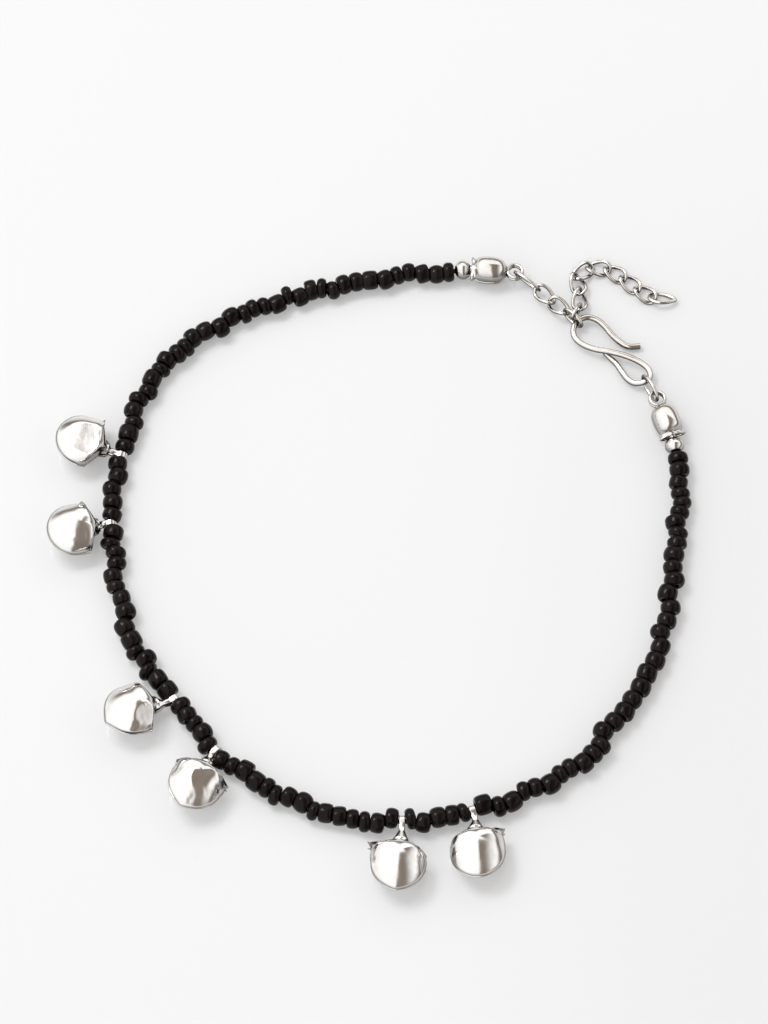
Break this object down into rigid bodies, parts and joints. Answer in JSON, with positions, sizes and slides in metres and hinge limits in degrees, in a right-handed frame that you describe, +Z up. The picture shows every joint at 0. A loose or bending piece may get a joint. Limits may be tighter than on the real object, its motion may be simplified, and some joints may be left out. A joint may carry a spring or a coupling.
{
  "type": "beaded bell anklet",
  "caption": "Anklet of black glass seed beads on a thread with folded silver bells, closed by an S-hook on a short extension chain, lying clasped on a surface.",
  "frame": {"origin": "middle of the loop in plan, on the surface that the anklet lies on", "axes": "+Z up, square to the plane the anklet lies in; +Y from the bells at the foot of the picture to the clasp at its head; +X to the picture's right"},
  "size_m": [0.0933, 0.1, 0.0059],
  "materials": {
    "black_glass": "opaque black glass, tumbled and glossy",
    "silver": "bright silver plating, slightly warm, creased by the press"
  },
  "bodies": {
    "root": {"bead_string": "black_glass", "silver_ball_1": "silver", "silver_ball_2": "silver", "end_cap_1": "silver", "end_cap_2": "silver", "bell_1": "silver", "bell_2": "silver", "bell_3": "silver", "bell_4": "silver", "bell_5": "silver", "bell_6": "silver", "hook": "silver", "jump_ring_1": "silver", "jump_ring_2": "silver", "chain_link_1": "silver", "chain_link_2": "silver", "chain_link_3": "silver", "chain_link_4": "silver", "chain_link_5": "silver", "chain_link_6": "silver", "chain_link_7": "silver", "chain_link_8": "silver", "chain_link_9": "silver", "chain_link_10": "silver", "chain_link_11": "silver", "leaf_drop": "silver"}
  },
  "joints": []
}
